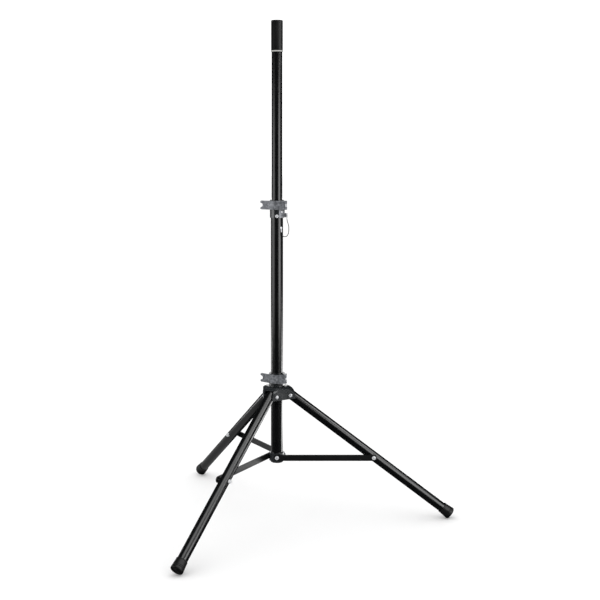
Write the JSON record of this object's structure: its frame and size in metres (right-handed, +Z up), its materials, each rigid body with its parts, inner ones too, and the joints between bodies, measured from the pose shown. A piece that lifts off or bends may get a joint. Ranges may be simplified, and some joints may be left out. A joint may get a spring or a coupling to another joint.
{
  "type": "speaker stand",
  "caption": "Folding tripod stand for a loudspeaker: telescoping mast, sliding hub with braced legs, cam-lever clamps and a safety pin.",
  "frame": {"origin": "point on the floor under the mast's axis, stand open", "axes": "+Z up along the mast, +X along leg 1, legs 2 and 3 at 120 and 240 degrees"},
  "size_m": [0.897, 1.0296, 1.6408],
  "materials": {
    "black_tube": "semi-gloss black powder coat",
    "black_bar": "satin black powder coat",
    "black_casting": "glossy black paint on a casting",
    "silver_casting": "fine matte cast",
    "black_plastic": "moulded",
    "grey_nylon": "natural nylon",
    "rubber_foot": "matte",
    "zinc_steel": "bright zinc",
    "black_cord": "coated wire"
  },
  "bodies": {
    "mast": {"outer_tube": "black_tube", "mast_end_plug": "black_plastic", "bottom_collar": "black_casting", "brace_pivot_screws": "zinc_steel", "upper_clamp_collar": "black_casting", "upper_clamp_band": "silver_casting", "upper_clamp_bolt": "zinc_steel", "upper_clamp_nut": "zinc_steel", "upper_clamp_lever_pin": "zinc_steel", "collar_screw": "zinc_steel", "pin_bracket": "silver_casting", "bracket_screw": "zinc_steel", "lanyard_rivet": "zinc_steel", "lanyard_anchor": "zinc_steel", "lanyard": "black_cord"},
    "upper_lever": {"upper_clamp_lever": "silver_casting"},
    "hub": {"hub_casting": "black_casting", "hub_liner": "grey_nylon", "leg_pivot_bolts": "zinc_steel", "leg_pivot_nuts": "zinc_steel", "hub_clamp_bolt": "zinc_steel", "hub_clamp_nut": "zinc_steel", "hub_clamp_lever_pin": "zinc_steel"},
    "hub_lever": {"hub_clamp_lever": "silver_casting"},
    "pole_guide": {"extension_guide_bush": "grey_nylon"},
    "pole": {"extension_tube": "black_tube", "extension_end_plug": "black_plastic", "extension_top_plug": "black_plastic", "adapter_stop_ring": "grey_nylon"},
    "adapter": {"adapter_sleeve": "black_plastic"},
    "pin": {"safety_pin": "zinc_steel", "lanyard_pin_ferrule": "zinc_steel"},
    "leg_1": {"leg_tube_1": "black_tube", "leg_plug_1": "black_plastic", "foot_1": "rubber_foot", "brace_spacer_1": "black_plastic", "brace_stud_1": "zinc_steel", "brace_nut_1": "zinc_steel"},
    "brace_arm_1": {"brace_1": "black_bar", "brace_bolt_1": "zinc_steel"},
    "leg_2": {"leg_tube_2": "black_tube", "leg_plug_2": "black_plastic", "foot_2": "rubber_foot", "brace_spacer_2": "black_plastic", "brace_stud_2": "zinc_steel", "brace_nut_2": "zinc_steel"},
    "brace_arm_2": {"brace_2": "black_bar", "brace_bolt_2": "zinc_steel"},
    "leg_3": {"leg_tube_3": "black_tube", "leg_plug_3": "black_plastic", "foot_3": "rubber_foot", "brace_spacer_3": "black_plastic", "brace_stud_3": "zinc_steel", "brace_nut_3": "zinc_steel"},
    "brace_arm_3": {"brace_3": "black_bar", "brace_bolt_3": "zinc_steel"}
  },
  "joints": [
    {"name": "hub_slide", "type": "slide", "parent": "mast", "child": "hub", "axis": [0, 0, 1], "range_m": [0, 0.452]},
    {"name": "upper_lever_turn", "type": "hinge", "parent": "mast", "child": "upper_lever", "pos_m": [0.027, -0.018, 1.0455], "axis": [0, 0, 1], "range_deg": [0, 110]},
    {"name": "hub_lever_turn", "type": "hinge", "parent": "hub", "child": "hub_lever", "pos_m": [0.027, -0.018, 0.4745], "axis": [0, 0, 1], "range_deg": [0, 110]},
    {"name": "pole_slide", "type": "slide", "parent": "mast", "child": "pole_guide", "axis": [0, 0, 1], "range_m": [-0.475, 0.19]},
    {"name": "pole_turn", "type": "hinge", "parent": "pole_guide", "child": "pole", "pos_m": [0, 0, 0.718], "axis": [0, 0, 1], "continuous": true},
    {"name": "adapter_lift", "type": "slide", "parent": "pole", "child": "adapter", "axis": [0, 0, 1], "range_m": [0, 0.11]},
    {"name": "pin_pull", "type": "slide", "parent": "mast", "child": "pin", "axis": [1, 0, 0], "range_m": [0, 0.045]},
    {"name": "leg_fold_1", "type": "hinge", "parent": "hub", "child": "leg_1", "pos_m": [0.044, 0, 0.42], "axis": [0, 1, 0], "range_deg": [0, 50.87]},
    {"name": "brace_fold_1", "type": "hinge", "parent": "mast", "child": "brace_arm_1", "pos_m": [0, 0, 0.211], "axis": [0, -1, 0], "range_deg": [0, 79.91]},
    {"name": "leg_fold_2", "type": "hinge", "parent": "hub", "child": "leg_2", "pos_m": [-0.022, 0.0381, 0.42], "axis": [-0.866, -0.5, 0], "range_deg": [0, 50.87]},
    {"name": "brace_fold_2", "type": "hinge", "parent": "mast", "child": "brace_arm_2", "pos_m": [0, 0, 0.211], "axis": [0.866, 0.5, 0], "range_deg": [0, 79.91]},
    {"name": "leg_fold_3", "type": "hinge", "parent": "hub", "child": "leg_3", "pos_m": [-0.022, -0.0381, 0.42], "axis": [0.866, -0.5, 0], "range_deg": [0, 50.87]},
    {"name": "brace_fold_3", "type": "hinge", "parent": "mast", "child": "brace_arm_3", "pos_m": [0, 0, 0.211], "axis": [-0.866, 0.5, 0], "range_deg": [0, 79.91]}
  ],
  "couplings": [
    {"joint": "leg_fold_1", "follows": "hub_slide", "rad_per_m": 1.9641},
    {"joint": "brace_fold_1", "follows": "hub_slide", "rad_per_m": 3.0855},
    {"joint": "leg_fold_2", "follows": "hub_slide", "rad_per_m": 1.9641},
    {"joint": "brace_fold_2", "follows": "hub_slide", "rad_per_m": 3.0855},
    {"joint": "leg_fold_3", "follows": "hub_slide", "rad_per_m": 1.9641},
    {"joint": "brace_fold_3", "follows": "hub_slide", "rad_per_m": 3.0855}
  ]
}
